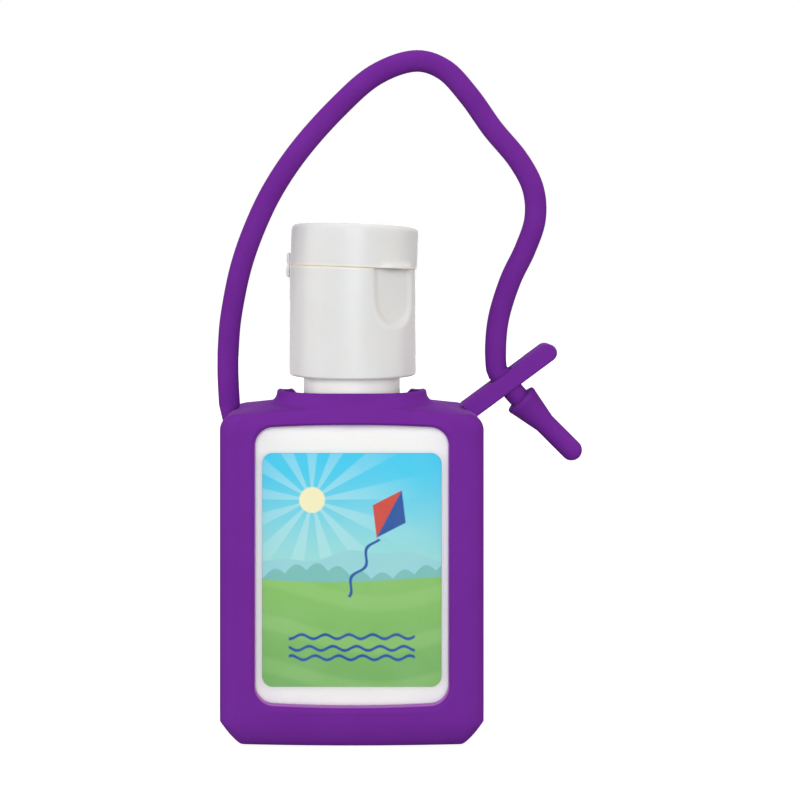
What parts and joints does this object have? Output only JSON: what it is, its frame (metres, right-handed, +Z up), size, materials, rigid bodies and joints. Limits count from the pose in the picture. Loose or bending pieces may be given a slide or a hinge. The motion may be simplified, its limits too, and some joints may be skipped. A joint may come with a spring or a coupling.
{
  "type": "pocket sunscreen bottle in a soft holder",
  "caption": "Flat pocket lotion bottle with a screw-on flip-top cap, held in a soft windowed sleeve with a carry loop that ends in a pull-through barb.",
  "frame": {"origin": "middle of the holder's flat base, where the bottle stands", "axes": "+Z up along the bottle's neck, -Y out of the front window, +X to the right, towards the tab"},
  "size_m": [0.0546, 0.0195, 0.1005],
  "materials": {
    "bottle_plastic": "satin natural-white polyethylene",
    "holder_silicone": "matte purple moulded silicone",
    "label_film": "printed film, sky blue fading to green",
    "cap_plastic": "semi-gloss white polypropylene",
    "liner_foam": "soft pressed foam sheet"
  },
  "bodies": {
    "holder": {"bottle": "bottle_plastic", "holder_sleeve": "holder_silicone", "front_label": "label_film", "back_label": "label_film", "carry_strap": "holder_silicone", "strap_bend": "holder_silicone"},
    "liner": {"cap_liner": "liner_foam"},
    "closure": {"cap_base": "cap_plastic", "hinge_web": "cap_plastic", "hinge_spring_left": "cap_plastic", "hinge_spring_right": "cap_plastic"},
    "lid": {"flip_lid": "cap_plastic"},
    "strap_end": {"strap_barb": "holder_silicone"}
  },
  "joints": [
    {"name": "cap_rise", "type": "slide", "parent": "holder", "child": "liner", "axis": [0, 0, 1], "range_m": [0, 0.00424]},
    {"name": "cap_turn", "type": "hinge", "parent": "liner", "child": "closure", "pos_m": [0, 0, 0.0529], "axis": [0, 0, 1], "range_deg": [0, 720]},
    {"name": "lid_hinge", "type": "hinge", "parent": "closure", "child": "lid", "pos_m": [-0.00658, 0.00719, 0.06923], "axis": [-0.7368, -0.6756, 0.0257], "range_deg": [0, 130], "deforming": ["hinge_web", "hinge_spring_left", "hinge_spring_right"]},
    {"name": "strap_pull", "type": "slide", "parent": "holder", "child": "strap_end", "axis": [0.5934, 0, -0.8049], "range_m": [-0.0012, 0.003], "stiffness_N_per_m": 15, "deforming": ["strap_bend"]}
  ],
  "couplings": [
    {"joint": "cap_rise", "follows": "cap_turn", "m_per_rad": 0.00033688}
  ]
}
